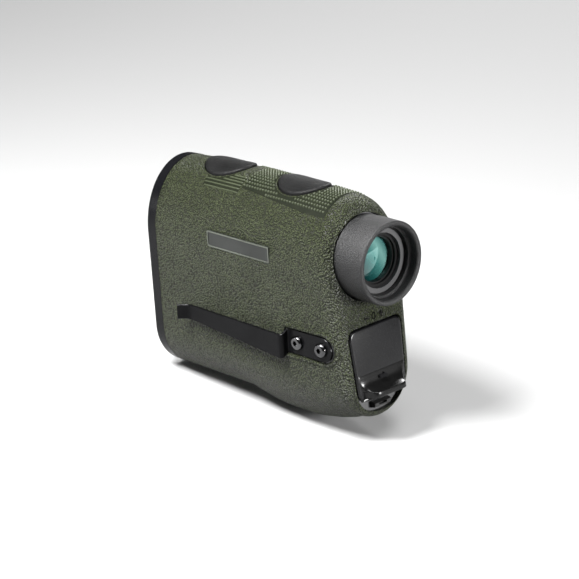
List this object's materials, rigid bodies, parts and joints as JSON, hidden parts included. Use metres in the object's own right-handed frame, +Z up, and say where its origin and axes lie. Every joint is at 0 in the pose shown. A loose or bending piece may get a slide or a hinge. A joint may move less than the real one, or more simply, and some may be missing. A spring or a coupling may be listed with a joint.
{
  "type": "laser rangefinder",
  "caption": "Handheld laser rangefinder: armoured body, objective and laser windows in front, focusing eyepiece, oval push buttons, battery door and belt clip.",
  "frame": {"origin": "centre of the flat rest pad under the battery bulge", "axes": "+Y forward along the optical axis towards the target, +X to the user's right, +Z up"},
  "size_m": [0.0392, 0.0974, 0.078],
  "materials": {
    "armor": "matte olive, fine pebble grain",
    "badge": "blank satin name plate",
    "shell": "fine matte",
    "steel": "bright",
    "bezel": "satin black paint",
    "seal": "matte",
    "face_plate": "matte",
    "black_metal": "black anodised, matte",
    "coated_glass": "teal anti-reflection coating",
    "glass": "clear, polished",
    "chassis": "cast, satin",
    "copper": "plated",
    "board": "lacquered circuit board",
    "chip": "moulded",
    "ribbon": "flexible film",
    "button": "satin moulded rubber",
    "ring": "black anodised",
    "eyecup": "matte moulded rubber",
    "battery": "printed sleeve, plain",
    "door": "satin moulded plastic",
    "catch": "grey moulded plastic",
    "clip": "black coated spring steel",
    "screw": "black oxide, polished",
    "brass": "turned"
  },
  "bodies": {
    "housing": {"armor_sleeve": "armor", "battery": "battery", "battery_liner": "shell", "battery_spring": "steel", "board_screws": "steel", "button_board": "board", "button_gasket": "seal", "case_screws": "steel", "clip_inserts": "brass", "clip_plate": "clip", "clip_screws": "screw", "detector_board": "board", "detector_diode": "copper", "detector_tube": "black_metal", "display_panel": "glass", "door_catch": "catch", "emitter_barrel": "black_metal", "emitter_lens": "coated_glass", "emitter_retainer": "black_metal", "eyepiece_tube": "shell", "field_stop": "black_metal", "front_bezel": "bezel", "front_gasket": "seal", "front_plate": "face_plate", "hinge_pin": "steel", "laser_diode": "copper", "laser_heatsink": "copper", "left_shell": "shell", "main_board": "board", "objective_barrel": "black_metal", "objective_crown": "coated_glass", "objective_flint": "glass", "objective_retainer": "black_metal", "optical_chassis": "chassis", "pechan_prism": "glass", "prism_clamp": "steel", "prism_holder": "chassis", "processor_chip": "chip", "ribbon_cable": "ribbon", "right_shell": "shell", "roof_prism": "glass", "side_badge": "badge", "tact_switches": "chip"},
    "dioptre": {"dioptre_ring": "ring", "eyecup": "eyecup", "dioptre_seal": "seal"},
    "ocular": {"ocular_cell": "black_metal", "eye_lens": "coated_glass", "field_lens": "glass", "lens_spacer": "black_metal", "ocular_retainer": "black_metal", "cam_pin": "steel"},
    "measure_key": {"measure_button": "button", "measure_plunger": "shell"},
    "menu_key": {"menu_button": "button", "menu_plunger": "shell"},
    "door": {"battery_door": "door", "door_contact": "copper", "door_seal": "seal"},
    "clip": {"clip_arm": "clip"}
  },
  "joints": [
    {"name": "dioptre_turn", "type": "hinge", "parent": "housing", "child": "dioptre", "pos_m": [0, -0.03, 0.0575], "axis": [0, 1, 0], "range_deg": [-60, 60]},
    {"name": "ocular_focus", "type": "slide", "parent": "housing", "child": "ocular", "axis": [0, 1, 0], "range_m": [-0.001, 0.001]},
    {"name": "measure_press", "type": "slide", "parent": "housing", "child": "measure_key", "axis": [0, 0, -1], "range_m": [0, 0.0007], "stiffness_N_per_m": 400, "springref_m": -0.0012},
    {"name": "menu_press", "type": "slide", "parent": "housing", "child": "menu_key", "axis": [0, 0, -1], "range_m": [0, 0.0007], "stiffness_N_per_m": 400, "springref_m": -0.0012},
    {"name": "door_swing", "type": "hinge", "parent": "housing", "child": "door", "pos_m": [0, -0.02718, 0.03359], "axis": [-1, 0, 0], "range_deg": [0, 75]},
    {"name": "clip_flex", "type": "hinge", "parent": "housing", "child": "clip", "pos_m": [-0.01585, -0.00595, 0.0297], "axis": [0, 0, 1], "range_deg": [0, 6], "stiffness_Nm_per_rad": 2}
  ],
  "couplings": [
    {"joint": "ocular_focus", "follows": "dioptre_turn", "m_per_rad": 0.000954}
  ]
}
